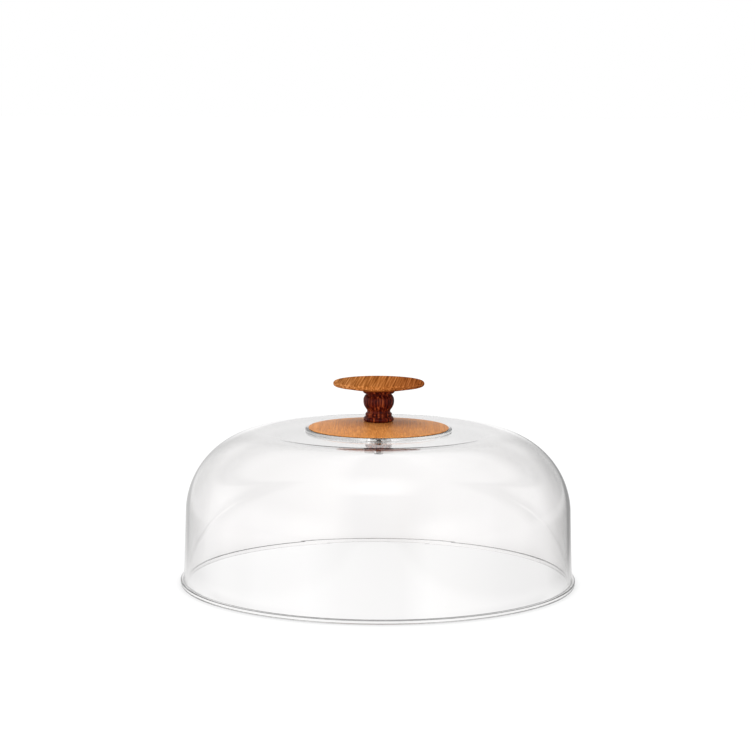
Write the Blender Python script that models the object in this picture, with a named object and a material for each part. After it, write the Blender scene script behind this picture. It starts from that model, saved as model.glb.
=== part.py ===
"""Low clear cover dome with a turned wooden knob held by one screw through the crown.

Units are metres, +Z is up, and the origin is the centre of the rim's resting plane.
Every round piece is a closed profile of (radius, height) points spun about +Z.
Dimensions and profiles are in millimetres; MM turns them into metres.
"""

import math

import bmesh
import bpy
from mathutils import Matrix

MM = 0.001
SHARP_ANGLE = 35.0       # edges that turn more than this are shaded sharp, degrees
GAP = 0.05               # working gap between stacked flat faces

# ---- shell ----
RIM_R = 150.0            # outer radius of the foot flange
RIM_T = 2.7              # thickness of the foot flange
RIM_ROUND = 0.5          # rounding of the flange's upper outer edge
FOOT_CHAMFER = 0.4       # chamfers on both edges of the resting face
WALL_FOOT_R = 147.6      # outer radius of the wall where it leaves the flange
WALL_FILLET = 0.8        # reach of the fillet between flange and wall
WALL_FILLET_MID = 0.25   # its middle point, out from the wall and up from the flange
WALL_LEAN = math.tan(math.radians(1.82))   # inward lean of the wall per unit of height
WALL_T = 2.6             # thickness of the shell
SHOULDER_Z = 56.1        # height at which the wall turns into the shoulder
SHOULDER_REACH = 59.2    # horizontal reach of the shoulder
SHOULDER_FULL_ACROSS = 1.86   # fullness of the shoulder, horizontally
SHOULDER_FULL_UP = 1.95       # fullness of the shoulder, vertically
SHOULDER_FINE = 8        # curve samples for each point kept
CROWN_Z = 115.2          # height of the flat crown's upper face
SCREW_HOLE_R = 2.5       # hole through the crown
SCREW_HOLE_CHAMFER = 0.3

# ---- clear pad between crown and plate ----
PAD_R = 55.5
PAD_T = 1.9
PAD_HOLE_R = 6.8
PAD_CHAMFER = 0.2

# ---- low-domed wooden plate ----
PLATE_R = 53.1
PLATE_RISE = 5.0
PLATE_CURVE = 1.3        # 1 would be a straight cone, 2 a round dome
PLATE_EDGE_T = 0.55
PLATE_TOP_INSET = 0.3    # the domed top starts this far in from the rim
PLATE_TOP_STEPS = 6
PLATE_BORE_R = 3.75
PLATE_SOCKET_R = 6.1     # counterbore that takes the neck's spigot
PLATE_SOCKET_D = 2.5
# Rim of the plate: (distance in from PLATE_R, height above the underside)
PLATE_EDGE = [(0.35, 0.0), (0.0, 0.25), (0.05, 0.45)]

# ---- flanged threaded insert ----
INSERT_FLANGE_R = 6.2
INSERT_FLANGE_T = 1.0
INSERT_FLANGE_LOW_CHAMFER = 0.2
INSERT_FLANGE_TOP_CHAMFER = 0.1
INSERT_R = 3.6
INSERT_L = 12.0
INSERT_END_CHAMFER = 0.4
INSERT_BORE_R = 2.05
INSERT_BORE_CHAMFER = 0.25

# ---- turned neck ----
NECK_SEAT_R = 11.3
NECK_SEAT_INSET = 1.5    # the base bead starts this far inside the seat radius
NECK_SPIGOT_R = 6.0
NECK_BORE_CLEAR = 0.15   # radial clearance around the insert
NECK_BORE_HEADROOM = 0.6 # bore left above the insert's length
NECK_SOCKET_D = 6.8      # dowel socket, down from the neck's top
NECK_TOP_Z = 146.0
BASE_BEAD_R = 11.5
BASE_BEAD_ROUND = 1.95
SMALL_BEAD_R = 10.1
SMALL_BEAD_ROUND = 1.2
SMALL_BEAD_LIFT = 5.6    # bead's centre above the neck's seat
WAIST_R = 8.8
BULB_R = 11.65
BULB_Z = 138.2           # height of the bulb's widest point
BULB_BELOW = 7.2         # height of the bulb's lower part
BULB_ABOVE = 4.5         # height of the bulb's upper part
BULB_LOW_POWER = 1.35    # shape of the lower part's curve
BULB_HIGH_POWER = 2.4    # shape of the upper part's curve
BULB_STEPS = 8
GROOVE_R = 9.75
COLLAR_R = 12.5
COLLAR_CHAMFER = 0.3
# Outline between the two beads, and from small bead to waist: (radius, height above the seat)
NECK_STEP = [(10.2, 4.1), (9.5, 4.2)]
NECK_WAIST = [(9.0, 6.95), (WAIST_R, 7.5), (WAIST_R, 8.3)]
# Outline from the groove out towards the collar: (radius, height in the model)
NECK_FLARE = [(GROOVE_R, 143.45), (11.3, 143.8), (11.8, 144.5)]

# ---- flat knob disc ----
DISC_R = 34.5
DISC_TOP_Z = 152.8
DISC_RIM_Z = 149.3       # underside height at the rim
DISC_SEAT_R = 12.4       # flat underside resting on the collar
DISC_UNDER_INSET = 2.2   # the sloping underside is aimed this far in from DISC_R
DISC_UNDER_CURVE = 1.3   # 1 would be a straight slope
DISC_UNDER_STEPS = 4
DISC_ROUND = 1.75        # horizontal radius of the rounded rim
DISC_ROUND_DROP = 0.05   # rim's centre below mid thickness
DISC_ROUND_ANGLE = 78    # the rim's arc runs this far below and above horizontal, degrees
DISC_TOP_RING = 0.55     # radius of the edge ring on the top face, as a share of DISC_R
DISC_SOCKET_D = 4.2

# ---- dowel between neck and disc ----
DOWEL_R = 4.0
DOWEL_L = 10.6
DOWEL_SUNK = 6.6         # length below the neck's top
DOWEL_CHAMFER = 0.5
DOWEL_CLEAR = 0.1        # radial clearance in both sockets

# ---- soft washer and clear spacer under the crown ----
WASHER_R = 10.7
WASHER_T = 0.7
WASHER_CLEAR = 0.1       # extra radius of the washer's hole over the spacer's
BUSH_R = WASHER_R
BUSH_H = 7.1
BUSH_BORE_R = 2.35
BUSH_LOW_CHAMFER = 0.3
BUSH_TOP_CHAMFER = 0.1

# ---- M4 screw, head down, with a cross recess ----
SCREW_R = 1.95
SCREW_L = 20.0
SCREW_TIP_W = 0.5        # tip chamfer, across and along
SCREW_TIP_L = 0.6
SCREW_HEAD_R = 3.45
SCREW_HEAD_H = 2.0
# Rounding of the head: (distance in from SCREW_HEAD_R, height above the head's low face)
SCREW_HEAD_EDGE = [(0.9, 0.0), (0.3, 0.25), (0.0, 0.8)]
SLOT_L = 3.9
SLOT_W = 0.95
SLOT_CUTTER_H = 1.8
SLOT_CUTTER_LIFT = 0.2   # cutter's centre above the head's low face


def plate_top(radius):
    """Height of the plate's domed top."""
    return PLATE_Z0 + PLATE_EDGE_T + PLATE_RISE * (1.0 - (radius / PLATE_R) ** PLATE_CURVE)


# ---- stack above the crown, going up ----
PAD_Z0 = CROWN_Z + GAP
PAD_Z1 = PAD_Z0 + PAD_T
PLATE_Z0 = PAD_Z1 + GAP
PLATE_FLAT_R = NECK_SEAT_R + 0.15   # flat on the plate's top, just wider than the neck's seat
PLATE_TOP_Z = plate_top(PLATE_FLAT_R)
NECK_Z0 = PLATE_TOP_Z + GAP
DISC_Z0 = NECK_TOP_Z + GAP

# ---- stack under the crown, going down ----
CROWN_UNDER_Z = CROWN_Z - WALL_T
WASHER_Z1 = CROWN_UNDER_Z - GAP
WASHER_Z0 = WASHER_Z1 - WASHER_T
BUSH_Z1 = WASHER_Z0 - GAP
BUSH_Z0 = BUSH_Z1 - BUSH_H
HEAD_Z1 = BUSH_Z0 - GAP
HEAD_Z0 = HEAD_Z1 - SCREW_HEAD_H


# ---- tools ----
def material(name, colour, roughness, metallic=0.0, transmission=0.0, ior=1.45):
    made = bpy.data.materials.new(name)
    made.use_nodes = True
    inputs = made.node_tree.nodes["Principled BSDF"].inputs
    inputs["Base Color"].default_value = (*colour, 1.0)
    inputs["Roughness"].default_value = roughness
    inputs["Metallic"].default_value = metallic
    inputs["Transmission Weight"].default_value = transmission
    inputs["IOR"].default_value = ior
    made.diffuse_color = (*colour, 1.0)
    return made


def arc(centre_r, centre_z, radius, start, end, steps, squash=1.0):
    """Points along an arc, degrees from the outward direction; squash scales its height."""
    points = []
    for i in range(steps + 1):
        angle = math.radians(start + (end - start) * i / steps)
        points.append((centre_r + radius * math.cos(angle),
                       centre_z + squash * radius * math.sin(angle)))
    return points


def raised(points, base_z):
    return [(radius, base_z + z) for radius, z in points]


def inset(points, outer_r, base_z):
    """Points given as (distance in from outer_r, height above base_z)."""
    return [(outer_r - distance, base_z + z) for distance, z in points]


def add_object(name, data):
    made = bpy.data.objects.new(name, data)
    bpy.context.scene.collection.objects.link(made)
    return made


def attach(child, parent):
    """Parents without moving the child."""
    if parent is not None:
        child.parent = parent
        child.matrix_parent_inverse = parent.matrix_world.inverted()


def mesh_from(name, shape):
    mesh = bpy.data.meshes.new(name)
    shape.to_mesh(mesh)
    shape.free()
    return mesh


def lathe(name, profile, segments, finish, parent=None):
    """Spins a closed profile about +Z into one solid object."""
    shape = bmesh.new()
    ring = [shape.verts.new((radius * MM, 0.0, z * MM)) for radius, z in profile]
    edges = []
    for i in range(len(ring)):
        following = (i + 1) % len(ring)
        # An edge lying on the axis would spin into nothing.
        if max(profile[i][0], profile[following][0]) >= 1e-9:
            edges.append(shape.edges.new((ring[i], ring[following])))
    bmesh.ops.spin(shape, geom=ring + edges, cent=(0, 0, 0), axis=(0, 0, 1),
                   angle=2.0 * math.pi, steps=segments, use_merge=True, use_duplicate=False)
    bmesh.ops.remove_doubles(shape, verts=shape.verts, dist=1e-7)
    bmesh.ops.recalc_face_normals(shape, faces=shape.faces)
    mesh = mesh_from(name, shape)
    mesh.shade_smooth()
    mesh.set_sharp_from_angle(angle=math.radians(SHARP_ANGLE))
    mesh.materials.append(finish)
    made = add_object(name, mesh)
    attach(made, parent)
    return made


def joint_frame(name, z, parent=None):
    made = add_object(name, None)
    made.location = (0.0, 0.0, z * MM)
    attach(made, parent)
    bpy.context.view_layer.update()   # children read this frame's world matrix
    return made


def cut_box(target, name, size, z):
    """Cuts a box centred on the axis out of the target, with a hidden helper."""
    shape = bmesh.new()
    scale = Matrix.Diagonal((*(side * MM for side in size), 1.0))
    bmesh.ops.create_cube(shape, size=1.0, matrix=scale)
    cutter = add_object(name, mesh_from(name, shape))
    cutter.location = (0.0, 0.0, z * MM)
    cutter.hide_render = True
    cutter.display_type = "WIRE"
    step = target.modifiers.new(name, "BOOLEAN")
    step.operation = "DIFFERENCE"
    step.object = cutter
    step.solver = "EXACT"


# ---- profiles ----
def wall_r(z):
    """Outer radius of the leaning wall."""
    return WALL_FOOT_R - (z - RIM_T) * WALL_LEAN


def shoulder(depth, steps):
    """The shoulder from wall to crown, moved inwards by depth along its normal."""
    crown_r = wall_r(SHOULDER_Z) - SHOULDER_REACH
    height = CROWN_Z - SHOULDER_Z
    last = SHOULDER_FINE * steps
    curve = []
    for i in range(last + 1):
        angle = 0.5 * math.pi * i / last
        rise = math.sin(angle) ** (2 / SHOULDER_FULL_UP)
        reach = SHOULDER_REACH * max(math.cos(angle), 0.0) ** (2 / SHOULDER_FULL_ACROSS)
        # The shoulder leaves the wall at the wall's own slope.
        lean = WALL_LEAN * height * rise * (1.0 - rise) ** 2
        curve.append((crown_r + reach - lean, SHOULDER_Z + height * rise))
    moved = []
    for i in range(0, last + 1, SHOULDER_FINE):
        before = curve[max(i - 1, 0)]
        after = curve[min(i + 1, last)]
        across = after[0] - before[0]
        up = after[1] - before[1]
        if i == last:   # meets the flat crown level
            across, up = -1.0, 0.0
        length = math.hypot(across, up)
        radius, z = curve[i]
        moved.append((radius - depth * up / length, z + depth * across / length))
    return moved


def shell_profile():
    fillet_z = RIM_T + WALL_FILLET
    outer_mid = 0.5 * (RIM_T + SHOULDER_Z)
    inner_mid = 0.5 * SHOULDER_Z
    hole_edge_r = SCREW_HOLE_R + SCREW_HOLE_CHAMFER
    return [
        (RIM_R - FOOT_CHAMFER, 0.0),
        (RIM_R, FOOT_CHAMFER),
        *arc(RIM_R - RIM_ROUND, RIM_T - RIM_ROUND, RIM_ROUND, start=0, end=90, steps=3),
        (WALL_FOOT_R + WALL_FILLET, RIM_T),
        (WALL_FOOT_R + WALL_FILLET_MID, RIM_T + WALL_FILLET_MID),
        (wall_r(fillet_z), fillet_z),
        (wall_r(outer_mid), outer_mid),
        *shoulder(depth=0.0, steps=12),
        (hole_edge_r, CROWN_Z),
        (SCREW_HOLE_R, CROWN_Z - SCREW_HOLE_CHAMFER),
        # back down the inside
        (SCREW_HOLE_R, CROWN_UNDER_Z + SCREW_HOLE_CHAMFER),
        (hole_edge_r, CROWN_UNDER_Z),
        *reversed(shoulder(depth=WALL_T, steps=11)),
        (wall_r(inner_mid) - WALL_T, inner_mid),
        (wall_r(FOOT_CHAMFER) - WALL_T, FOOT_CHAMFER),
        (wall_r(0.0) - WALL_T + FOOT_CHAMFER, 0.0),
    ]


def collar_profile(bore_r, outer_r, low, top, low_chamfer, top_chamfer):
    """A plain ring with chamfered outer edges."""
    return [(bore_r, low), (outer_r - low_chamfer, low), (outer_r, low + low_chamfer),
            (outer_r, top - top_chamfer), (outer_r - top_chamfer, top), (bore_r, top)]


def plate_profile():
    socket_floor = PLATE_TOP_Z - PLATE_SOCKET_D
    points = [(PLATE_BORE_R, PLATE_Z0)]
    points += inset(PLATE_EDGE, PLATE_R, PLATE_Z0)
    start = PLATE_R - PLATE_TOP_INSET
    for i in range(PLATE_TOP_STEPS + 1):
        radius = start + (PLATE_FLAT_R - start) * i / PLATE_TOP_STEPS
        points.append((radius, plate_top(radius)))
    points += [(PLATE_SOCKET_R, PLATE_TOP_Z), (PLATE_SOCKET_R, socket_floor),
               (PLATE_BORE_R, socket_floor)]
    return points


def insert_profile():
    top = PLATE_Z0 - GAP
    low = top - INSERT_FLANGE_T
    end = top + INSERT_L
    flange = collar_profile(INSERT_BORE_R + INSERT_BORE_CHAMFER, INSERT_FLANGE_R, low, top,
                            INSERT_FLANGE_LOW_CHAMFER, INSERT_FLANGE_TOP_CHAMFER)
    # The flange's last point is dropped: the barrel carries on from its top face.
    return flange[:-1] + [
        (INSERT_R, top), (INSERT_R, end - INSERT_END_CHAMFER),
        (INSERT_R - INSERT_END_CHAMFER, end), (INSERT_BORE_R, end),
        (INSERT_BORE_R, low + INSERT_BORE_CHAMFER)]


def bulb():
    """From just above the waist, over the widest point, in to the groove."""
    points = []
    for i in range(1, BULB_STEPS + 1):
        place = -1.0 + 2.0 * i / BULB_STEPS   # -1 at the waist, 0 at the widest, 1 at the groove
        if place < 0:
            swell = math.cos(0.5 * math.pi * abs(place) ** BULB_LOW_POWER)
            points.append((WAIST_R + (BULB_R - WAIST_R) * swell, BULB_Z + BULB_BELOW * place))
        else:
            shrink = (BULB_R - GROOVE_R) * place ** BULB_HIGH_POWER
            points.append((BULB_R - shrink, BULB_Z + BULB_ABOVE * place))
    return points


def neck_profile():
    bore_r = INSERT_R + NECK_BORE_CLEAR
    bore_top = PLATE_Z0 + INSERT_L + NECK_BORE_HEADROOM
    spigot_z = PLATE_TOP_Z - PLATE_SOCKET_D + GAP * 2
    socket_r = DOWEL_R + DOWEL_CLEAR
    socket_floor = NECK_TOP_Z - NECK_SOCKET_D
    return [
        (0.0, bore_top), (bore_r, bore_top), (bore_r, spigot_z),
        (NECK_SPIGOT_R, spigot_z), (NECK_SPIGOT_R, NECK_Z0),
        (NECK_SEAT_R - NECK_SEAT_INSET, NECK_Z0),
        *arc(BASE_BEAD_R - BASE_BEAD_ROUND, NECK_Z0 + BASE_BEAD_ROUND, BASE_BEAD_ROUND,
             start=-70, end=58, steps=5),
        *raised(NECK_STEP, NECK_Z0),
        *arc(SMALL_BEAD_R - SMALL_BEAD_ROUND, NECK_Z0 + SMALL_BEAD_LIFT, SMALL_BEAD_ROUND,
             start=-60, end=60, steps=3),
        *raised(NECK_WAIST, NECK_Z0),
        *bulb(),
        *NECK_FLARE,
        (COLLAR_R, NECK_TOP_Z - COLLAR_CHAMFER), (COLLAR_R - COLLAR_CHAMFER, NECK_TOP_Z),
        (socket_r, NECK_TOP_Z), (socket_r, socket_floor), (0.0, socket_floor),
    ]


def disc_profile():
    socket_r = DOWEL_R + DOWEL_CLEAR
    socket_top = DISC_Z0 + DISC_SOCKET_D
    points = [(0.0, socket_top), (socket_r, socket_top), (socket_r, DISC_Z0),
              (DISC_SEAT_R, DISC_Z0)]
    run = DISC_R - DISC_UNDER_INSET - DISC_SEAT_R
    for i in range(1, DISC_UNDER_STEPS):
        share = i / DISC_UNDER_STEPS
        points.append((DISC_SEAT_R + run * share,
                       DISC_Z0 + (DISC_RIM_Z - DISC_Z0) * share ** DISC_UNDER_CURVE))
    middle = 0.5 * (DISC_RIM_Z + DISC_TOP_Z)
    half = 0.5 * (DISC_TOP_Z - DISC_RIM_Z)
    points += arc(DISC_R - DISC_ROUND, middle - DISC_ROUND_DROP, DISC_ROUND,
                  start=-DISC_ROUND_ANGLE, end=DISC_ROUND_ANGLE, steps=8,
                  squash=half / DISC_ROUND)
    points += [(DISC_R * DISC_TOP_RING, DISC_TOP_Z), (0.0, DISC_TOP_Z)]
    return points


def screw_profile():
    tip = HEAD_Z1 + SCREW_L
    return [(0.0, HEAD_Z0), *inset(SCREW_HEAD_EDGE, SCREW_HEAD_R, HEAD_Z0),
            (SCREW_HEAD_R, HEAD_Z1), (SCREW_R, HEAD_Z1), (SCREW_R, tip - SCREW_TIP_L),
            (SCREW_R - SCREW_TIP_W, tip), (0.0, tip)]


# ---- pieces ----
def build_cover(soft):
    clear = material("clear_shell", colour=(0.97, 0.98, 0.98), roughness=0.02,
                     transmission=1.0, ior=1.49)
    lathe("dome_shell", shell_profile(), 64, clear)
    pad = collar_profile(PAD_HOLE_R, PAD_R, PAD_Z0, PAD_Z1, PAD_CHAMFER, PAD_CHAMFER)
    lathe("seat_pad", pad, 64, soft)


def build_handle(frame):
    light = material("light_wood", colour=(0.62, 0.27, 0.085), roughness=0.45)
    middle = material("mid_wood", colour=(0.47, 0.19, 0.055), roughness=0.42)
    dark = material("dark_wood", colour=(0.11, 0.018, 0.008), roughness=0.33)
    pale = material("dowel_wood", colour=(0.60, 0.42, 0.24), roughness=0.6)
    plated = material("insert_metal", colour=(0.34, 0.33, 0.32), roughness=0.3, metallic=1.0)
    dowel_z = NECK_TOP_Z - DOWEL_SUNK
    dowel = collar_profile(0.0, DOWEL_R, dowel_z, dowel_z + DOWEL_L, DOWEL_CHAMFER, DOWEL_CHAMFER)
    lathe("seat_plate", plate_profile(), 56, light, frame)
    lathe("threaded_insert", insert_profile(), 24, plated, frame)
    lathe("neck_spindle", neck_profile(), 32, dark, frame)
    lathe("knob_dowel", dowel, 24, pale, frame)
    lathe("knob_disc", disc_profile(), 48, middle, frame)


def build_clamp(frame, soft):
    clear = material("clear_bush", colour=(0.95, 0.96, 0.96), roughness=0.05,
                     transmission=1.0, ior=1.49)
    hole_r = BUSH_BORE_R + WASHER_CLEAR
    washer = [(hole_r, WASHER_Z0), (WASHER_R, WASHER_Z0), (WASHER_R, WASHER_Z1),
              (hole_r, WASHER_Z1)]
    lathe("crown_washer", washer, 32, soft, frame)
    bush = collar_profile(BUSH_BORE_R, BUSH_R, BUSH_Z0, BUSH_Z1,
                          BUSH_LOW_CHAMFER, BUSH_TOP_CHAMFER)
    lathe("spacer_bush", bush, 32, clear, frame)


def build_screw(frame):
    steel = material("screw_steel", colour=(0.07, 0.065, 0.065), roughness=0.35, metallic=1.0)
    bolt = lathe("clamp_screw", screw_profile(), 24, steel, frame)
    slot_z = HEAD_Z0 + SLOT_CUTTER_LIFT
    cut_box(bolt, "slot_cutter_a", (SLOT_L, SLOT_W, SLOT_CUTTER_H), slot_z)
    cut_box(bolt, "slot_cutter_b", (SLOT_W, SLOT_L, SLOT_CUTTER_H), slot_z)


def build():
    for old in list(bpy.data.objects):
        bpy.data.objects.remove(old, do_unlink=True)
    # The knob turns about +Z through the crown's hole, the clamped stack slides down
    # that axis, and the screw turns in it.
    handle = joint_frame("handle_axis", CROWN_Z)
    clamp = joint_frame("clamp_axis", BUSH_Z0, handle)
    screw = joint_frame("screw_axis", HEAD_Z0, clamp)
    soft = material("clear_silicone", colour=(0.93, 0.94, 0.94), roughness=0.15,
                    transmission=1.0, ior=1.41)
    build_cover(soft)
    build_handle(handle)
    build_clamp(clamp, soft)
    build_screw(screw)


build()
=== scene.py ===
"""Looks for a clear cover dome with a turned wooden knob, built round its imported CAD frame.

The dome stands on its open rim at z = 0 with its axis on z. The seat pad, seat plate, neck and
knob disc are stacked above the crown, and the clamp parts lie on the same axis. The camera
looks from -y, so +x is to its right. Profiles are in millimetres; lights and camera in metres.
"""

import math

import bmesh
import bpy
from mathutils import Matrix, Vector


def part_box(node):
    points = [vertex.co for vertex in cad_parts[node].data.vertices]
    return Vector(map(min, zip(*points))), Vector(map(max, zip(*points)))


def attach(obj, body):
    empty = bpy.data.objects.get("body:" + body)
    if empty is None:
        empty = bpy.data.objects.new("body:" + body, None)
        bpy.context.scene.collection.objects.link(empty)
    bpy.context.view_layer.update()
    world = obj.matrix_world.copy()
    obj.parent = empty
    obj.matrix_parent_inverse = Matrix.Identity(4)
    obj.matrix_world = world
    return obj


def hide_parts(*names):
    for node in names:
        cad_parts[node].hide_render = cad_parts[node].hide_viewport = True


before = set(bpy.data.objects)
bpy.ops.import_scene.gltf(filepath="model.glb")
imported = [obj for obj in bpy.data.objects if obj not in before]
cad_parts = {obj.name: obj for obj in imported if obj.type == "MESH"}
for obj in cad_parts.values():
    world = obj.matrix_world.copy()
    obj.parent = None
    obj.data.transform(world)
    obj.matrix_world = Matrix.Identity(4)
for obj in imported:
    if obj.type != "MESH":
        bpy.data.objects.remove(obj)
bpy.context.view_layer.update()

MM = 0.001


def span(node):
    """The node's lowest and highest z, and its outer radius, in millimetres."""
    low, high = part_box(node)
    return low[2] / MM, high[2] / MM, high[0] / MM


# ---------------------------------------------------------------- dimensions
_, CROWN_Z, RIM_R = span("dome_shell")
PAD_Z0, PAD_Z1, PAD_R = span("seat_pad")
PLATE_Z0, PLATE_TOP, PLATE_R = span("seat_plate")
WASHER_Z0, WASHER_Z1, WASHER_R = span("crown_washer")
BUSH_Z0, BUSH_Z1, BUSH_R = span("spacer_bush")
SCREW_Z0, SCREW_Z1, HEAD_R = span("clamp_screw")
_, NECK_TOP, _ = span("neck_spindle")
DISC_LOW, DISC_TOP, DISC_R = span("knob_disc")

# Dome
RIM_T = 2.7
RIM_ROUND = 0.5
RIM_FOOT_ROUND = 0.12
RIM_FILLET = 0.5
WALL_FOOT_R = 147.6
WALL_DRAFT = math.radians(1.82)
WALL_T = 2.6
WALL_ROWS = 12
SHELL_HOLE_R = 2.5
SHELL_HOLE_BREAK = 0.3

# Shoulder: a superellipse from the wall to the crown
SHOULDER_Z = 56.1
SHOULDER_WIDTH = 59.2
WIDTH_POWER = 1.86
HEIGHT_POWER = 1.95
SHOULDER_STEPS = 64
SHOULDER_FINER = 8  # points worked out for each one kept

# Holes and rounds of the small rings
PAD_HOLE_R = 6.8
PAD_ROUND = 0.45
WASHER_HOLE_R = 2.45
WASHER_ROUND = 0.2
BUSH_HOLE_R = 2.35
BUSH_HOLE_BREAK = 0.2
BUSH_LOW_ROUND = 0.4
BUSH_TOP_ROUND = 0.15

# Seat plate
PLATE_EDGE_T = 0.55
PLATE_LIP = 0.5  # width of the rounded edge
PLATE_LAND_R = 11.45  # inner end of the sloping top
PLATE_POWER = 1.3
PLATE_RISE = ((PLATE_TOP - PLATE_Z0 - PLATE_EDGE_T)
              / (1.0 - (PLATE_LAND_R / 53.1) ** PLATE_POWER))
PLATE_ROWS = 30
SOCKET_R = 6.1
SOCKET_DEPTH = 2.5

# Neck, with a spigot that stands in the plate's socket
BORE_R = 3.75
BORE_RISE = 12.6  # bore's top above the plate's underside
SPIGOT_R = 6.0
SPIGOT_DEPTH = 2.4
NECK_Z0 = PLATE_TOP + 0.05
BASE_R = 11.5
SMALL_R = 10.1
WAIST_R = 8.8
BULB_R = 11.65
GROOVE_R = 9.75
COLLAR_R = 12.5
BULB_Z = 138.2
BULB_BELOW = 7.2
BULB_ABOVE = 4.5
BULB_STEPS = 30
DOWEL_HOLE_R = 4.1
NECK_HOLE_DEPTH = 7.0

# Knob disc
DISC_HOLE_DEPTH = 4.2
DISC_FOOT_R = 12.4
DISC_RIM_Z = DISC_TOP - 3.5
DISC_RIM_ROUND = 1.7
DISC_UNDER_INSET = 2.3
DISC_STEPS = 24

# Screw
SHANK_R = 1.95
TIP_R = 1.55
TIP_H = 0.5
HEAD_ROUND = 0.45
HEAD_BREAK = 0.12
HEAD_TOP = SCREW_Z0 + 2.0
THREAD_PITCH = 0.7
THREAD_DEPTH = 0.40
THREAD_START = HEAD_TOP + 6.0
ROWS_PER_PITCH = 8


# ---------------------------------------------------------------- mesh helpers
def link(name, data):
    obj = bpy.data.objects.new(name, data)
    bpy.context.scene.collection.objects.link(obj)
    return obj


def to_object(name, shape):
    """Turns a bmesh into a linked object."""
    mesh = bpy.data.meshes.new(name)
    shape.to_mesh(mesh)
    shape.free()
    return link(name, mesh)


def shade(mesh):
    mesh.shade_smooth()
    mesh.set_sharp_from_angle(angle=math.radians(32))


def lathe(name, profile, segments, ripple=None):
    """A closed body spun from (r, z) points; ripple(r, z, angle) may move a point's radius."""
    shape = bmesh.new()
    rings = []
    for radius, z in profile:
        if radius < 1e-6:
            rings.append([shape.verts.new((0.0, 0.0, z * MM))])
            continue
        ring = []
        for j in range(segments):
            angle = 2.0 * math.pi * j / segments
            out = radius if ripple is None else ripple(radius, z, angle)
            ring.append(shape.verts.new((out * MM * math.cos(angle),
                                         out * MM * math.sin(angle), z * MM)))
        rings.append(ring)
    for i, near in enumerate(rings):
        far = rings[(i + 1) % len(rings)]
        if len(near) == 1 and len(far) == 1:
            continue
        for j in range(segments):
            k = (j + 1) % segments
            if len(near) == 1:
                shape.faces.new((near[0], far[k], far[j]))
            elif len(far) == 1:
                shape.faces.new((near[j], near[k], far[0]))
            else:
                shape.faces.new((near[j], near[k], far[k], far[j]))
    bmesh.ops.recalc_face_normals(shape, faces=shape.faces)
    obj = to_object(name, shape)
    shade(obj.data)
    return obj


def cut(target, tools):
    """Takes the tools out of the target's mesh for good, then removes them."""
    for tool in tools:
        step = target.modifiers.new("cut", "BOOLEAN")
        step.operation = "DIFFERENCE"
        step.solver = "EXACT"
        step.object = tool
    bpy.context.view_layer.update()
    graph = bpy.context.evaluated_depsgraph_get()
    made = bpy.data.meshes.new_from_object(target.evaluated_get(graph))
    target.modifiers.clear()
    target.data = made
    shade(made)
    for tool in tools:
        bpy.data.objects.remove(tool, do_unlink=True)


def wedge(name, length, width, depth, z, turn):
    """A tapered blade that cuts one bar of a cross recess upwards from z."""
    shape = bmesh.new()
    bmesh.ops.create_cube(shape, size=1.0)
    for vert in shape.verts:
        top = vert.co.z > 0
        vert.co.x *= length * MM * (0.35 if top else 1.0)
        vert.co.y *= width * MM * (0.7 if top else 1.0)
        vert.co.z = (z + (depth if top else -0.5)) * MM
    bmesh.ops.rotate(shape, verts=shape.verts, cent=(0, 0, 0),
                     matrix=Matrix.Rotation(turn, 3, "Z"))
    bmesh.ops.recalc_face_normals(shape, faces=shape.faces)
    return to_object(name, shape)


# ---------------------------------------------------------------- profile helpers
def arc(centre_r, centre_z, radius, start, end, steps, squash=1.0):
    """Points from start to end, in degrees; squash scales the height."""
    points = []
    for i in range(steps + 1):
        angle = math.radians(start + (end - start) * i / steps)
        points.append((centre_r + radius * math.cos(angle),
                       centre_z + squash * radius * math.sin(angle)))
    return points


def low_corner(side_r, z, radius, steps):
    """Rounds from an underside at z out to the side."""
    return arc(side_r - radius, z + radius, radius, -90, 0, steps)


def top_corner(side_r, z, radius, steps):
    """Rounds from the side in to a top at z."""
    return arc(side_r - radius, z - radius, radius, 0, 90, steps)


def smooth(points):
    """Two rounds of corner cutting, which keep the two ends."""
    for _ in range(2):
        out = [points[0]]
        for (r0, z0), (r1, z1) in zip(points, points[1:]):
            out += [(0.75 * r0 + 0.25 * r1, 0.75 * z0 + 0.25 * z1),
                    (0.25 * r0 + 0.75 * r1, 0.25 * z0 + 0.75 * z1)]
        out.append(points[-1])
        points = out
    return points


# ---------------------------------------------------------------- profiles, as (r, z) points
def wall_r(z):
    return WALL_FOOT_R - (z - RIM_T) * math.tan(WALL_DRAFT)


def shoulder(offset):
    """The curve from the wall up to the crown, moved inwards by offset."""
    start = wall_r(SHOULDER_Z)
    height = CROWN_Z - SHOULDER_Z
    lean = (wall_r(0.0) - wall_r(SHOULDER_Z)) / SHOULDER_Z
    line = []
    last = SHOULDER_FINER * SHOULDER_STEPS
    for i in range(last + 1):
        angle = 0.5 * math.pi * i / last
        rise = math.sin(angle) ** (2 / HEIGHT_POWER)
        radius = (start - SHOULDER_WIDTH
                  + SHOULDER_WIDTH * max(math.cos(angle), 0.0) ** (2 / WIDTH_POWER))
        # The lean lets the curve leave the wall along its draft.
        line.append((radius - lean * height * rise * (1.0 - rise) ** 2,
                     SHOULDER_Z + height * rise))
    moved = []
    for i, (radius, z) in enumerate(line):
        r0, z0 = line[max(i - 1, 0)]
        r1, z1 = line[min(i + 1, last)]
        if i == last:
            # Level where it meets the crown
            r0, z0, r1, z1 = radius + 1.0, z, radius, z
        length = math.hypot(r1 - r0, z1 - z0)
        moved.append((radius - offset * (z1 - z0) / length, z + offset * (r1 - r0) / length))
    return moved[::SHOULDER_FINER]


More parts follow.
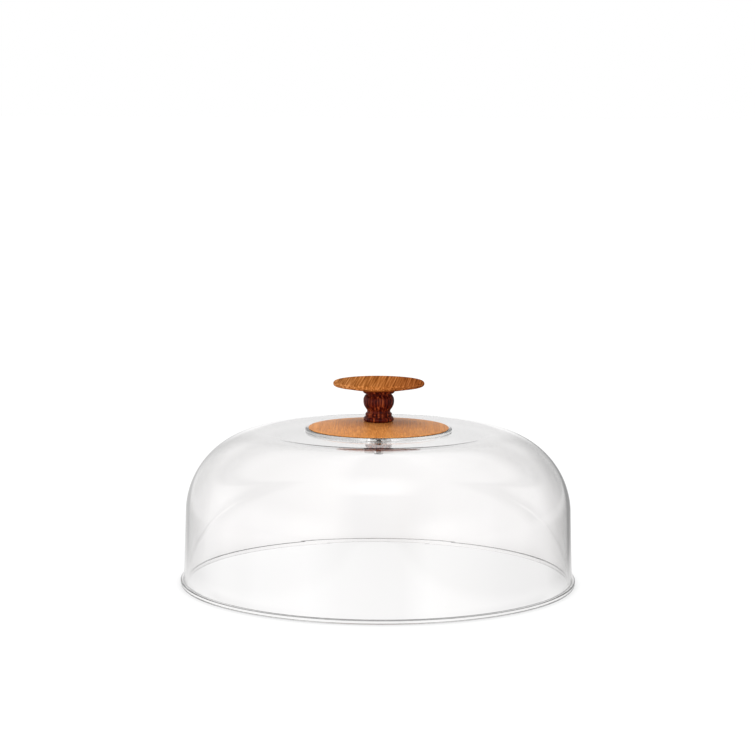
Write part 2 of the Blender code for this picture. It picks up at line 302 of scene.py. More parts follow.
def shell_profile():
    outer = low_corner(RIM_R, 0.0, RIM_FOOT_ROUND, 3)
    outer += top_corner(RIM_R, RIM_T, RIM_ROUND, 7)
    corner = wall_r(RIM_T) + RIM_FILLET
    outer += [(corner + RIM_FILLET * math.cos(math.radians(angle)),
               RIM_T + RIM_FILLET + RIM_FILLET * math.sin(math.radians(angle)))
              for angle in (270, 255, 240, 225, 210, 195, 182)]
    outer = [(min(radius, RIM_R), z) for radius, z in outer]
    low = RIM_T + RIM_FILLET + 0.4
    for i in range(WALL_ROWS):
        z = low + (SHOULDER_Z - low) * i / WALL_ROWS
        outer.append((wall_r(z), z))
    outer += shoulder(0.0)
    flat_r = outer[-1][0]
    outer += [(flat_r * (1 - 0.2 * i), CROWN_Z) for i in range(1, 5)]
    outer += [(SHELL_HOLE_R + SHELL_HOLE_BREAK, CROWN_Z),
              (SHELL_HOLE_R, CROWN_Z - SHELL_HOLE_BREAK)]

    under = CROWN_Z - WALL_T
    inner = [(SHELL_HOLE_R, under + SHELL_HOLE_BREAK), (SHELL_HOLE_R + SHELL_HOLE_BREAK, under)]
    inner += [(flat_r * (1 - 0.2 * i), under) for i in range(4, 0, -1)]
    inner += shoulder(WALL_T)[::-1]
    for i in range(WALL_ROWS - 1, 0, -1):
        z = SHOULDER_Z * i / WALL_ROWS
        inner.append((wall_r(z) - WALL_T, z))
    foot = wall_r(0.0) - WALL_T
    inner += [(foot - 0.02, 0.3), (foot + 0.05, 0.08), (foot + 0.2, 0.0)]
    return outer + inner


def pad_profile():
    middle = 0.5 * (PAD_HOLE_R + PAD_R)
    return [(PAD_HOLE_R, PAD_Z0), (middle, PAD_Z0),
            *low_corner(PAD_R, PAD_Z0, PAD_ROUND, 5),
            *top_corner(PAD_R, PAD_Z1, PAD_ROUND, 5),
            (middle, PAD_Z1), (PAD_HOLE_R, PAD_Z1)]


def plate_profile():
    floor_z = PLATE_TOP - SOCKET_DEPTH
    points = [(radius, PLATE_Z0) for radius in (BORE_R, 20.0, 40.0, PLATE_R - PLATE_LIP)]
    points += [(PLATE_R - 0.12, PLATE_Z0 + 0.1), (PLATE_R, PLATE_Z0 + 0.28),
               (PLATE_R - 0.06, PLATE_Z0 + 0.45), (PLATE_R - 0.22, PLATE_Z0 + 0.56)]
    for i in range(PLATE_ROWS + 1):
        radius = PLATE_R - PLATE_LIP + (PLATE_LAND_R - PLATE_R + PLATE_LIP) * i / PLATE_ROWS
        z = PLATE_Z0 + PLATE_EDGE_T + PLATE_RISE * (1.0 - (radius / PLATE_R) ** PLATE_POWER)
        points.append((radius, min(z, PLATE_TOP)))
    points += [(SOCKET_R, PLATE_TOP), (SOCKET_R, floor_z), (BORE_R, floor_z)]
    return points


def neck_outline():
    """The turned outside: two beads, a waist, a bulb, a groove and a flared collar."""
    z = NECK_Z0
    top = NECK_TOP
    points = [(BASE_R - 1.8, z)]
    points += arc(BASE_R - 1.95, z + 1.95, 1.95, -72, 58, 14)
    points += [(10.5, z + 3.9), (10.2, z + 4.1), (9.5, z + 4.2)]
    points += arc(SMALL_R - 1.2, z + 5.6, 1.2, -64, 60, 12)
    points += [(9.35, z + 6.85), (9.0, z + 6.95)]
    points += smooth([(8.95, z + 7.0), (WAIST_R, z + 7.4), (WAIST_R, z + 7.9), (WAIST_R, z + 8.4)])
    for i in range(1, BULB_STEPS + 1):
        part = -1.0 + 2.0 * i / BULB_STEPS
        if part < 0:
            swell = math.cos(0.5 * math.pi * abs(part) ** 1.35)
            points.append((WAIST_R + (BULB_R - WAIST_R) * swell, BULB_Z + BULB_BELOW * part))
        else:
            points.append((BULB_R - (BULB_R - GROOVE_R) * part ** 2.4,
                           BULB_Z + BULB_ABOVE * part))
    points += [(GROOVE_R, 143.0), (GROOVE_R + 0.05, 143.35)]
    points += smooth([(GROOVE_R + 0.15, 143.5), (11.0, 143.65), (11.6, 144.1), (12.0, 144.8),
                      (COLLAR_R, top - 0.3)])
    points += [(COLLAR_R - 0.1, top - 0.1), (COLLAR_R - 0.4, top)]
    return points


def neck_profile():
    bore_top = PLATE_Z0 + BORE_RISE
    spigot_z = PLATE_TOP - SPIGOT_DEPTH
    hole_z = NECK_TOP - NECK_HOLE_DEPTH
    return [(0.0, bore_top), (BORE_R, bore_top), (BORE_R, spigot_z), (SPIGOT_R, spigot_z),
            (SPIGOT_R, NECK_Z0), *neck_outline(),
            (DOWEL_HOLE_R, NECK_TOP), (DOWEL_HOLE_R, hole_z), (0.0, hole_z)]


def disc_profile():
    hole_top = DISC_LOW + DISC_HOLE_DEPTH
    points = [(0.0, hole_top), (DOWEL_HOLE_R, hole_top), (DOWEL_HOLE_R, DISC_LOW),
              (DISC_FOOT_R, DISC_LOW)]
    for i in range(1, DISC_STEPS):
        part = i / DISC_STEPS
        points.append((DISC_FOOT_R + (DISC_R - DISC_UNDER_INSET - DISC_FOOT_R) * part,
                       DISC_LOW + (DISC_RIM_Z - DISC_LOW) * part ** 1.3))
    half = 0.5 * (DISC_TOP - DISC_RIM_Z)
    middle = 0.5 * (DISC_TOP + DISC_RIM_Z)
    points += arc(DISC_R - DISC_RIM_ROUND, middle, DISC_RIM_ROUND, -86, 86, 22,
                  squash=half / DISC_RIM_ROUND)
    points += [(DISC_R * (0.93 - 0.13 * i), DISC_TOP) for i in range(7)]
    points += [(0.0, DISC_TOP)]
    return points


def washer_profile():
    return [(WASHER_HOLE_R, WASHER_Z0),
            *low_corner(WASHER_R, WASHER_Z0, WASHER_ROUND, 3),
            *top_corner(WASHER_R, WASHER_Z1, WASHER_ROUND, 3),
            (WASHER_HOLE_R, WASHER_Z1)]


def bush_profile():
    points = [(BUSH_HOLE_R + BUSH_HOLE_BREAK, BUSH_Z0)]
    points += low_corner(BUSH_R, BUSH_Z0, BUSH_LOW_ROUND, 5)
    points += [(BUSH_R, BUSH_Z0 + (BUSH_Z1 - BUSH_Z0) * i / 4) for i in range(1, 4)]
    points += top_corner(BUSH_R, BUSH_Z1, BUSH_TOP_ROUND, 3)
    points += [(BUSH_HOLE_R, BUSH_Z1), (BUSH_HOLE_R, BUSH_Z0 + BUSH_HOLE_BREAK)]
    return points


def screw_profile():
    points = [(0.0, SCREW_Z0), (HEAD_R - 0.6, SCREW_Z0)]
    points += arc(HEAD_R - HEAD_ROUND, SCREW_Z0 + HEAD_ROUND, HEAD_ROUND, -82, 0, 9)
    points += [(HEAD_R, HEAD_TOP - HEAD_BREAK), (HEAD_R - HEAD_BREAK, HEAD_TOP),
               (SHANK_R, HEAD_TOP)]
    low = HEAD_TOP + 0.05
    high = SCREW_Z1 - TIP_H
    rows = int((high - low) / (THREAD_PITCH / ROWS_PER_PITCH))
    points += [(SHANK_R, low + (high - low) * i / rows) for i in range(rows + 1)]
    points += [(TIP_R, SCREW_Z1), (0.0, SCREW_Z1)]
    return points


def thread(radius, z, angle):
    """Sinks a helical groove into the shank, fading in over its first turn."""
    if abs(radius - SHANK_R) > 1e-6 or z < THREAD_START:
        return radius
    turn = (z / THREAD_PITCH - angle / (2 * math.pi)) % 1.0
    groove = min(max(1.6 * abs(turn - 0.5) * 2 - 0.3, 0.0), 1.0)
    fade = min((z - THREAD_START) / THREAD_PITCH, 1.0)
    return SHANK_R - THREAD_DEPTH * groove * fade


# ---------------------------------------------------------------- material helpers
class Nodes:
    """A short way to write node trees."""

    def __init__(self, tree):
        self.tree = tree
        tree.nodes.clear()

    def new(self, kind):
        return self.tree.nodes.new(kind)

    def put(self, socket, value):
        """Links a socket into an input, or sets the input's value."""
        if isinstance(value, bpy.types.NodeSocket):
            self.tree.links.new(value, socket)
        else:
            socket.default_value = value

    def math(self, operation, a, b=0.5, c=0.5):
        node = self.new("ShaderNodeMath")
        node.operation = operation
        for i, value in enumerate((a, b, c)):
            self.put(node.inputs[i], value)
        return node.outputs[0]

    def mix(self, factor, a, b, blend="MIX"):
        node = self.new("ShaderNodeMix")
        node.data_type = "RGBA"
        node.blend_type = blend
        self.put(node.inputs[0], factor)
        self.put(node.inputs[6], a)
        self.put(node.inputs[7], b)
        return node.outputs[2]

    def times(self, a, b):
        """The product of two colours."""
        return self.mix(1.0, a, b, "MULTIPLY")

    def plus(self, a, b):
        """The sum of two colours."""
        return self.mix(1.0, a, b, "ADD")

    def ramp(self, value, stops):
        """A colour ramp; each stop is a position with a grey level or an (r, g, b) colour."""
        node = self.new("ShaderNodeValToRGB")
        self.put(node.inputs[0], value)
        elements = node.color_ramp.elements
        while len(elements) < len(stops):
            elements.new(0.5)
        for element, (at, colour) in zip(elements, stops):
            element.position = at
            if not isinstance(colour, tuple):
                colour = (colour, colour, colour)
            element.color = (*colour, 1.0)
        return node.outputs[0]

    def rise(self, value, start, end):
        return self.ramp(value, [(start, 0.0), (end, 1.0)])

    def fall(self, value, start, end):
        return self.ramp(value, [(start, 1.0), (end, 0.0)])

    def noise(self, vector, detail, rough):
        node = self.new("ShaderNodeTexNoise")
        self.put(node.inputs["Vector"], vector)
        node.inputs["Scale"].default_value = 1.0
        node.inputs["Detail"].default_value = detail
        node.inputs["Roughness"].default_value = rough
        return node.outputs["Fac"]

    def stretched(self, scale, turn=(0.0, 0.0, 0.0), shift=(0.0, 0.0, 0.0)):
        """Object coordinates in millimetres, turned and then scaled along each axis."""
        where = self.new("ShaderNodeTexCoord")
        spun = self.new("ShaderNodeMapping")
        spun.inputs["Rotation"].default_value = turn
        spun.inputs["Scale"].default_value = (1000.0, 1000.0, 1000.0)
        self.put(spun.inputs["Vector"], where.outputs["Object"])
        node = self.new("ShaderNodeMapping")
        node.inputs["Scale"].default_value = scale
        node.inputs["Location"].default_value = shift
        self.put(node.inputs["Vector"], spun.outputs[0])
        return node.outputs[0]

    def split(self, vector):
        node = self.new("ShaderNodeSeparateXYZ")
        self.put(node.inputs[0], vector)
        return node.outputs

    def bump(self, height, strength, distance):
        node = self.new("ShaderNodeBump")
        node.inputs["Strength"].default_value = strength
        node.inputs["Distance"].default_value = distance
        self.put(node.inputs["Height"], height)
        return node.outputs[0]

    def mix_shader(self, factor, first, second):
        node = self.new("ShaderNodeMixShader")
        for i, value in enumerate((factor, first, second)):
            self.put(node.inputs[i], value)
        return node.outputs[0]

    def output(self, shader, kind="ShaderNodeOutputMaterial"):
        self.put(self.new(kind).inputs["Surface"], shader)

    def surface(self, **inputs):
        shader = self.new("ShaderNodeBsdfPrincipled")
        for key, value in inputs.items():
            self.put(shader.inputs[key.replace("_", " ")], value)
        self.output(shader.outputs[0])


def new_material(name):
    made = bpy.data.materials.new(name)
    made.use_nodes = True
    return made, Nodes(made.node_tree)


def clear_plastic(name, tint, ior, roughness, haze, wave):
    """Moulded clear plastic: faint flow waviness, a little handling haze, nearly no tint."""
    made, nodes = new_material(name)
    slow = nodes.noise(nodes.stretched((0.02, 0.02, 0.012)), detail=2.0, rough=0.45)
    fine = nodes.noise(nodes.stretched((0.9, 0.9, 0.9)), detail=3.0, rough=0.6)
    rub = nodes.noise(nodes.stretched((0.06, 0.9, 0.06), turn=(0.2, 0.3, 0.5)),
                      detail=5.0, rough=0.7)
    worn = nodes.rise(rub, start=0.62, end=0.78)
    rough = nodes.math("ADD", nodes.math("MULTIPLY", worn, haze), roughness)
    rough = nodes.math("ADD", rough, nodes.math("MULTIPLY", fine, haze * 0.25))
    warmer = (tint[0] * 0.995, tint[1] * 0.99, tint[2] * 0.982, 1.0)
    colour = nodes.mix(slow, (*tint, 1.0), warmer)
    normal = nodes.bump(slow, strength=wave, distance=0.0006)
    nodes.surface(Base_Color=colour, Roughness=rough, Transmission_Weight=1.0, IOR=ior,
                  Normal=normal)
    return made


def wood(name, stops, grain_axis, ring, shift, lean=0.0, gloss=(0.34, 0.5), streak=0.5,
         pore_dark=0.55, length=0.02, grain=0.6, sheen=0.12, painted_sheen_and_shade=None):
    """Turned hardwood: growth bands, fine fibre streaks, open pores and a satin coat.

    grain_axis is 1 for boards with grain front to back and 2 for spindles with upright grain.
    ring, grain and length are noise scales: of the bands, and across and along the fibres.
    gloss is the lowest and highest roughness, and streak the fibres' share of the tone.
    The last argument is painted light: a slow change of tone across an 80 mm board, from
    its left edge to its right, that paints a sheen on one side and shade on the other.
    """
    made, nodes = new_material(name)

    def along(cross, run, offset):
        scale = [cross, cross, cross]
        scale[grain_axis] = run
        return nodes.stretched(tuple(scale), turn=(0.0, 0.0, lean),
                               shift=(shift + offset, offset * 1.7, shift))

    # Growth bands, bent by a slow noise
    bend = nodes.noise(along(0.035, 0.010, offset=3.1), detail=2.0, rough=0.5)
    bands_at = along(ring, ring * 0.045, offset=1.3)
    pulled = nodes.new("ShaderNodeVectorMath")
    pulled.operation = "MULTIPLY_ADD"
    for i, value in enumerate((bend, (0.9, 0.9, 0.9), bands_at)):
        nodes.put(pulled.inputs[i], value)
    bands = nodes.noise(pulled.outputs[0], detail=5.0, rough=0.62)

    fibre = nodes.noise(along(grain, length, offset=7.7), detail=4.0, rough=0.62)
    fibre = nodes.rise(fibre, start=0.30, end=0.70)
    fine = nodes.noise(along(grain * 3.2, length * 2.4, offset=11.0), detail=4.0, rough=0.65)
    tone = nodes.math("ADD", nodes.math("MULTIPLY", bands, 1.0 - streak),
                      nodes.math("MULTIPLY", fibre, streak))
    tone = nodes.math("ADD", tone,
                      nodes.math("MULTIPLY", nodes.math("SUBTRACT", fine, 0.5), 0.45))
    colour = nodes.ramp(tone, stops)

    # Short and long pores
    pores = nodes.noise(along(3.4, length * 2.2, offset=21.0), detail=2.0, rough=0.5)
    holes = nodes.fall(pores, start=0.30, end=0.385)
    long_pores = nodes.noise(along(2.0, length * 1.1, offset=33.0), detail=1.0, rough=0.5)
    holes = nodes.math("MAXIMUM", holes, nodes.ramp(long_pores, [(0.26, 0.8), (0.33, 0.0)]))
    dark = nodes.times(colour, (pore_dark, pore_dark * 0.85, pore_dark * 0.75, 1.0))
    colour = nodes.mix(nodes.math("MULTIPLY", holes, 0.75), colour, dark)

    # Painted light and shade: a ramp across the board lightens and greys one side as a painted
    # sheen and darkens the other as painted shade
    if painted_sheen_and_shade:
        board_x = nodes.split(nodes.stretched((1.0, 1.0, 1.0)))[0]
        side = nodes.math("MULTIPLY_ADD", board_x, 1.0 / 80.0, 0.5)
        colour = nodes.times(colour, nodes.ramp(side, painted_sheen_and_shade))

    # Edges are lighter
    geometry = nodes.new("ShaderNodeNewGeometry")
    worn = nodes.rise(geometry.outputs["Pointiness"], start=0.505, end=0.56)
    colour = nodes.mix(nodes.math("MULTIPLY", worn, 0.25), colour,
                       nodes.times(colour, (1.5, 1.45, 1.4, 1.0)))

    height = nodes.math("SUBTRACT", nodes.math("MULTIPLY", fibre, 0.35),
                        nodes.math("MULTIPLY", holes, 0.8))
    normal = nodes.bump(height, strength=0.25, distance=0.00012)
    rough = nodes.math("ADD", nodes.math("MULTIPLY", fibre, gloss[1] - gloss[0]), gloss[0])
    rough = nodes.math("ADD", rough, nodes.math("MULTIPLY", holes, 0.2))
    nodes.surface(Base_Color=colour, Roughness=rough, Normal=normal, Specular_IOR_Level=sheen)
    return made


def metal(name, light, dark, rough_low, rough_high):
    """Clouded metal with fine scratches along y."""
    made, nodes = new_material(name)
    cloud = nodes.noise(nodes.stretched((0.7, 0.7, 0.7)), detail=5.0, rough=0.65)
    lines = nodes.noise(nodes.stretched((0.4, 4.0, 0.4)), detail=4.0, rough=0.6)
    colour = nodes.mix(nodes.rise(cloud, start=0.38, end=0.66), (*light, 1.0), (*dark, 1.0))
    rough = nodes.math("ADD", nodes.math("MULTIPLY", lines, rough_high - rough_low), rough_low)
    normal = nodes.bump(lines, strength=0.12, distance=0.00004)
    nodes.surface(Base_Color=colour, Metallic=1.0, Roughness=rough, Normal=normal)
    return made


# ---------------------------------------------------------------- materials
shell_plastic = clear_plastic("shell_plastic", tint=(0.986, 0.981, 0.983), ior=1.49,
                              roughness=0.0, haze=0.008, wave=0.015)
bush_plastic = clear_plastic("bush_plastic", tint=(0.985, 0.985, 0.98), ior=1.49,
                             roughness=0.0, haze=0.006, wave=0.0)
pad_silicone = clear_plastic("pad_silicone", tint=(0.975, 0.975, 0.97), ior=1.41,
                             roughness=0.0, haze=0.006, wave=0.0)
washer_silicone = clear_plastic("washer_silicone", tint=(0.95, 0.955, 0.945), ior=1.41,
                                roughness=0.08, haze=0.10, wave=0.10)

disc_wood = wood(
    "disc_wood",
    [(0.27, (0.150, 0.038, 0.006)), (0.42, (0.270, 0.080, 0.015)),
     (0.58, (0.380, 0.124, 0.028)), (0.76, (0.540, 0.200, 0.056))],
    grain_axis=1, lean=math.radians(3.5), ring=0.20, shift=4.0, streak=0.72, length=0.008,
    grain=0.85, sheen=0.0, gloss=(0.38, 0.52),
    # Painted light: a grey sheen painted on the disc's left and painted shade on its right
    painted_sheen_and_shade=[(0.10, (1.12, 1.42, 2.1)), (0.32, (1.05, 1.15, 1.3)), (0.55, (0.98, 0.98, 1.0)),
           (0.76, (0.78, 0.71, 0.74)), (0.95, (0.75, 0.66, 0.70))])
plate_wood = wood(
    "plate_wood",
    [(0.27, (0.435, 0.152, 0.034)), (0.42, (0.515, 0.196, 0.047)),
     (0.58, (0.590, 0.238, 0.062)), (0.75, (0.690, 0.305, 0.092))],
    grain_axis=1, lean=math.radians(0.5), ring=0.22, shift=17.0, streak=0.72, length=0.006,
    grain=1.0, sheen=0.10)
neck_wood = wood(
    "neck_wood",
    [(0.24, (0.010, 0.0005, 0.0018)), (0.42, (0.046, 0.0032, 0.0022)),
     (0.60, (0.110, 0.0120, 0.0044)), (0.80, (0.310, 0.0660, 0.0180))],
    grain_axis=2, ring=0.35, shift=9.0, streak=0.75, gloss=(0.34, 0.48), pore_dark=0.4,
    length=0.05, sheen=0.06)
dowel_wood = wood(
    "dowel_wood",
    [(0.28, (0.42, 0.27, 0.14)), (0.45, (0.58, 0.40, 0.22)), (0.60, (0.66, 0.47, 0.27)),
     (0.78, (0.72, 0.53, 0.33))],
    grain_axis=2, ring=0.4, shift=2.0, gloss=(0.5, 0.65))

screw_metal = metal("screw_metal", light=(0.075, 0.068, 0.068), dark=(0.035, 0.032, 0.032),
                    rough_low=0.28, rough_high=0.48)
insert_metal = metal("insert_metal", light=(0.36, 0.35, 0.34), dark=(0.20, 0.195, 0.19),
                     rough_low=0.25, rough_high=0.42)


# ---------------------------------------------------------------- pieces
def piece(obj, material, body, node, slot):
    obj.data.materials.clear()
    obj.data.materials.append(material)
    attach(obj, body)
    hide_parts(node)
    return obj


def make_screw():
    screw = lathe("screw_body", screw_profile(), 64, ripple=thread)
    bars = [wedge("arm%d" % i, length=3.7, width=0.85, depth=1.35, z=SCREW_Z0,
                  turn=math.radians(90 * i)) for i in range(2)]
    cut(screw, bars)
    piece(screw, screw_metal, "screw", "clamp_screw", "screw_steel")


# name, profile, segments, then material, body, CAD node and slot
TURNED = (
    ("shell_skin", shell_profile, 288,
     shell_plastic, "dome", "dome_shell", "clear_shell"),
    ("pad_ring", pad_profile, 192, pad_silicone, "dome", "seat_pad", "clear_silicone"),
    ("plate_board", plate_profile, 192, plate_wood, "handle", "seat_plate", "light_wood"),
    ("neck_turning", neck_profile, 128, neck_wood, "handle", "neck_spindle", "dark_wood"),
    ("disc_top", disc_profile, 192, disc_wood, "handle", "knob_disc", "mid_wood"),
    ("washer_ring", washer_profile, 96,
     washer_silicone, "clamp", "crown_washer", "washer_silicone"),
    ("bush_body", bush_profile, 128, bush_plastic, "clamp", "spacer_bush", "clear_bush"),
)
for name, profile, segments, *fitting in TURNED:
    piece(lathe(name, profile(), segments), *fitting)
make_screw()

# These two keep their CAD meshes.
for node, material in (("threaded_insert", insert_metal), ("knob_dowel", dowel_wood)):
    for place in bpy.data.objects[node].material_slots:
        place.material = material


# ---------------------------------------------------------------- floor, world, lights, camera
# Clear ware is lit by a bright field just wider than the camera's view, with darker flags
# beside it. The field is laid out in the camera's own frame, so it stays behind the object
# from every side.
RIGHT_DARK = 0.32
LEFT_DARK = 0.58
FRONT_DARK = 0.62
BOX_LIGHT = 1.15  # soft light overhead
FIELD_STRENGTH = 0.957
FLOOR_WHITE = 0.97  # the floor as the camera sees it
FOOT_R = 0.150  # where the floor's contact shade starts, in metres
SHADE_FALLOFF = -300.0  # of the contact shade, for each metre
FLOOR_HALF = 30.0
FLOOR_Z = -0.00002
LIGHT_TARGET = (0.0, 0.0, 0.13)

# Glow of the side boxes: sine of the turn from straight ahead, with left negative; brightness
SIDE_GLOW = [(-1.0, 0.5), (-0.97, 0.75), (-0.69, 1.0), (-0.39, 0.35), (0.0, 0.10), (0.25, 0.04),
             (0.5, 0.95), (0.64, 0.85), (0.8, 0.6), (0.92, 0.3), (0.97, 0.1), (1.0, 0.0)]


def camera_frame(nodes, socket, kind):
    """The vector's parts to the camera's right, up and ahead."""
    turned = nodes.new("ShaderNodeVectorTransform")
    turned.vector_type = kind
    turned.convert_from = "WORLD"
    turned.convert_to = "CAMERA"
    nodes.put(turned.inputs[0], socket)
    return nodes.split(turned.outputs[0])


def side_boxes(nodes, across, ahead):
    """Two tall soft lights beside the camera, seen only in what the clear walls throw back."""
    length = nodes.math("SQRT", nodes.math("ADD", nodes.math("MULTIPLY", across, across),
                                           nodes.math("MULTIPLY", ahead, ahead)))
    turn = nodes.math("DIVIDE", across, nodes.math("MAXIMUM", length, 0.02))
    glow = nodes.ramp(nodes.math("MULTIPLY_ADD", turn, 0.5, 0.5),
                      [(0.5 + 0.5 * at, level) for at, level in SIDE_GLOW])
    forward = nodes.math("DIVIDE", ahead, nodes.math("MAXIMUM", length, 0.02))
    facing = nodes.math("MULTIPLY_ADD", forward, -0.5, 0.5)
    return nodes.times(glow, nodes.rise(facing, start=0.20, end=0.45))


def floor_field(nodes, place, across, below, reach):
    """The light that every ray but the camera's own finds on the floor."""
    right = nodes.ramp(across, [(0.076, 1.0), (0.112, RIGHT_DARK), (0.19, RIGHT_DARK),
                                (0.32, 0.66)])
    left = nodes.ramp(nodes.math("MULTIPLY", across, -1.0),
                      [(0.078, 1.0), (0.115, LEFT_DARK), (0.17, LEFT_DARK), (0.26, 0.88)])
    front = nodes.ramp(below, [(0.13, 1.0), (0.22, FRONT_DARK)])
    level = nodes.times(nodes.times(left, right), front)
    # Rays bent well below the view miss the field, which is what draws a clear rim dark.
    slip, drop, run = camera_frame(nodes, place.outputs["Incoming"], "VECTOR")
    steep = nodes.math("DIVIDE", nodes.math("ABSOLUTE", drop),
                       nodes.math("MAXIMUM", nodes.math("ABSOLUTE", run), 0.05))
    from_foot = nodes.math("ABSOLUTE", nodes.math("SUBTRACT", reach, FOOT_R))
    miss = nodes.mix(nodes.ramp(from_foot, [(0.012, 1.0), (0.035, 0.12)]), (1.0, 1.0, 1.0, 1.0),
                     nodes.ramp(steep, [(0.20, 1.0), (0.40, 0.10)]))
    level = nodes.times(level, miss)
    level = nodes.plus(level, side_boxes(nodes, nodes.math("MULTIPLY", slip, -1.0),
                                         nodes.math("MULTIPLY", run, -1.0)))
    field = nodes.new("ShaderNodeEmission")
    nodes.put(field.inputs["Color"], level)
    field.inputs["Strength"].default_value = FIELD_STRENGTH
    return field.outputs[0]


def floor_seen(nodes, depth, reach):
    """The near-white floor the camera sees, with a contact shade round the rim."""
    seen = nodes.new("ShaderNodeEmission")
    away = nodes.math("MULTIPLY", nodes.math("SUBTRACT", reach, FOOT_R), SHADE_FALLOFF)
    shade_level = nodes.math("POWER", 2.718, nodes.math("MINIMUM", away, 0.0))
    near = nodes.ramp(nodes.math("MULTIPLY_ADD", depth, -1.0, 1.75), [(0.0, 0.16), (0.15, 0.42)])
    nodes.put(seen.inputs["Strength"],
              nodes.math("SUBTRACT", FLOOR_WHITE, nodes.math("MULTIPLY", shade_level, near)))
    diffuse = nodes.new("ShaderNodeBsdfDiffuse")
    diffuse.inputs["Color"].default_value = (0.10, 0.10, 0.10, 1.0)
    both = nodes.new("ShaderNodeAddShader")
    nodes.put(both.inputs[0], diffuse.outputs[0])
    nodes.put(both.inputs[1], seen.outputs[0])
    return both.outputs[0]


def make_floor():
    shape = bmesh.new()
    shape.faces.new([shape.verts.new((x * FLOOR_HALF, y * FLOOR_HALF, FLOOR_Z))
                     for x, y in ((-1, -1), (1, -1), (1, 1), (-1, 1))])
    obj = to_object("floor", shape)
    made, nodes = new_material("floor_white")
    place = nodes.new("ShaderNodeNewGeometry")
    x, y, z = camera_frame(nodes, place.outputs["Position"], "POINT")
    depth = nodes.math("MAXIMUM", nodes.math("ABSOLUTE", z), 0.05)
    across = nodes.math("DIVIDE", x, depth)
    below = nodes.math("MULTIPLY", nodes.math("DIVIDE", y, depth), -1.0)
    distance = nodes.new("ShaderNodeVectorMath")
    distance.operation = "LENGTH"
    nodes.put(distance.inputs[0], place.outputs["Position"])
    reach = distance.outputs["Value"]
    field = floor_field(nodes, place, across, below, reach)
    seen = floor_seen(nodes, depth, reach)
    path = nodes.new("ShaderNodeLightPath")
    pick = nodes.mix_shader(path.outputs["Is Camera Ray"], field, seen)
    # Seen from below, the floor is left out so that the underside can be looked at.
    through = nodes.new("ShaderNodeBsdfTransparent").outputs[0]
    nodes.output(nodes.mix_shader(place.outputs["Backfacing"], pick, through))
    obj.data.materials.append(made)


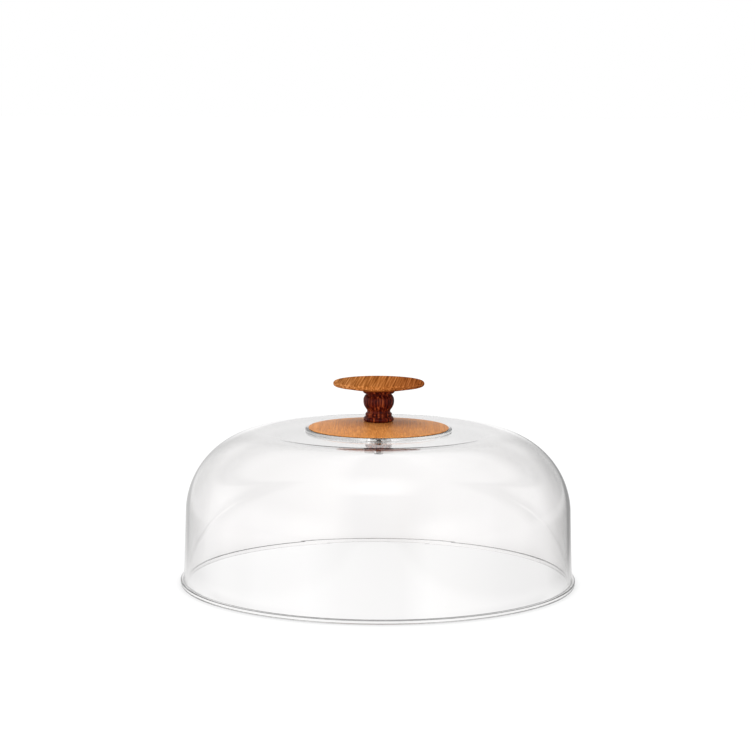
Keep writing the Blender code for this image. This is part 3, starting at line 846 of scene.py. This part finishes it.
def make_world():
    made = bpy.data.worlds.new("studio")
    bpy.context.scene.world = made
    made.use_nodes = True
    nodes = Nodes(made.node_tree)
    where = nodes.new("ShaderNodeTexCoord").outputs["Generated"]
    z = nodes.split(where)[2]
    across, _, ahead = camera_frame(nodes, where, "VECTOR")

    # Brightness by height: behind the object, in the flags beside it, at the room's sides
    # and on the camera's side
    behind = nodes.ramp(z, [(0.0, 1.0), (0.06, 1.0), (0.13, 0.80), (0.4, 0.70), (0.55, 0.9),
                            (1.0, 1.15)])
    flags = nodes.ramp(z, [(0.0, 0.60), (0.25, 0.62), (0.5, 0.85), (1.0, 1.15)])
    walls = nodes.ramp(z, [(0.0, 0.80), (0.5, 0.95), (1.0, 1.15)])
    front = nodes.ramp(z, [(0.0, 0.55), (0.3, 0.62), (0.6, 0.9), (1.0, 1.2)])
    spread = nodes.math("DIVIDE", nodes.math("ABSOLUTE", across),
                        nodes.math("MAXIMUM", ahead, 0.02))
    back = nodes.math("MULTIPLY", ahead, -1.0)
    level = nodes.mix(nodes.rise(spread, start=0.20, end=0.45), flags, walls)
    level = nodes.mix(nodes.fall(spread, start=0.10, end=0.24), level, behind)
    level = nodes.mix(nodes.rise(back, start=0.2, end=0.6), level, front)
    level = nodes.times(level, nodes.ramp(across, [(0.12, 1.0), (0.45, 0.60)]))
    beside = nodes.times(side_boxes(nodes, across, ahead), nodes.fall(z, start=0.25, end=0.55))
    level = nodes.plus(level, beside)

    # The overhead box, set towards the camera
    height = nodes.math("MAXIMUM", z, 0.05)
    box_x = nodes.fall(nodes.math("ABSOLUTE", nodes.math("DIVIDE", across, height)),
                       start=0.10, end=0.40)
    box_y = nodes.ramp(nodes.math("DIVIDE", back, height),
                       [(0.05, 0.0), (0.40, 1.0), (0.57, 1.0), (0.70, 0.0)])
    box = nodes.math("MULTIPLY", nodes.math("MULTIPLY", box_x, box_y), BOX_LIGHT)
    level = nodes.plus(level, box)

    # The camera itself sees plain white.
    path = nodes.new("ShaderNodeLightPath")
    level = nodes.mix(path.outputs["Is Camera Ray"], level, (1.0, 1.0, 1.0, 1.0))
    background = nodes.new("ShaderNodeBackground")
    nodes.put(background.inputs["Color"], level)
    background.inputs["Strength"].default_value = 1.0
    nodes.output(background.outputs[0], kind="ShaderNodeOutputWorld")


def area(name, at, size, power):
    """A soft light for the wood only: the clear pieces are lit by the field and the room."""
    lamp = bpy.data.lights.new(name, "AREA")
    lamp.shape = "RECTANGLE"
    lamp.size, lamp.size_y = size
    lamp.energy = power
    obj = link(name, lamp)
    obj.location = at
    aim = Vector(LIGHT_TARGET) - Vector(at)
    obj.rotation_euler = aim.to_track_quat("-Z", "Y").to_euler()
    obj.light_linking.receiver_collection = wood_group


def make_camera(at, down, roll):
    """A camera looking towards +y, tipped down and rolled by degrees."""
    data = bpy.data.cameras.new("camera")
    data.lens = 109.4
    data.sensor_width = 36.0
    data.clip_start = 0.05
    data.clip_end = 200.0
    obj = link("camera", data)
    obj.matrix_world = (Matrix.Translation(at)
                        @ Matrix.Rotation(math.radians(90 - down), 4, "X")
                        @ Matrix.Rotation(math.radians(roll), 4, "Z"))
    bpy.context.scene.camera = obj


wood_group = bpy.data.collections.new("turned_wood")
for name in ("plate_board", "neck_turning", "disc_top"):
    wood_group.objects.link(bpy.data.objects[name])

make_floor()
make_world()
area("key_top", at=(0.0, -0.9, 1.7), size=(1.0, 1.0), power=8.5)
area("key_front", at=(0.15, -1.35, 0.35), size=(1.2, 0.4), power=8.5)
area("rim_left", at=(-1.1, 0.3, 0.45), size=(0.3, 0.6), power=2.0)
make_camera(at=(-0.00105, -1.7202, 0.36987), down=7.104, roll=0.29)

scene = bpy.context.scene
scene.view_settings.view_transform = "Standard"
scene.view_settings.look = "None"
scene.cycles.max_bounces = 32
scene.cycles.transmission_bounces = 32
scene.cycles.glossy_bounces = 16
scene.cycles.diffuse_bounces = 4
scene.cycles.transparent_max_bounces = 16
scene.cycles.sample_clamp_indirect = 8.0
scene.cycles.blur_glossy = 0.3
scene.cycles.use_denoising = True
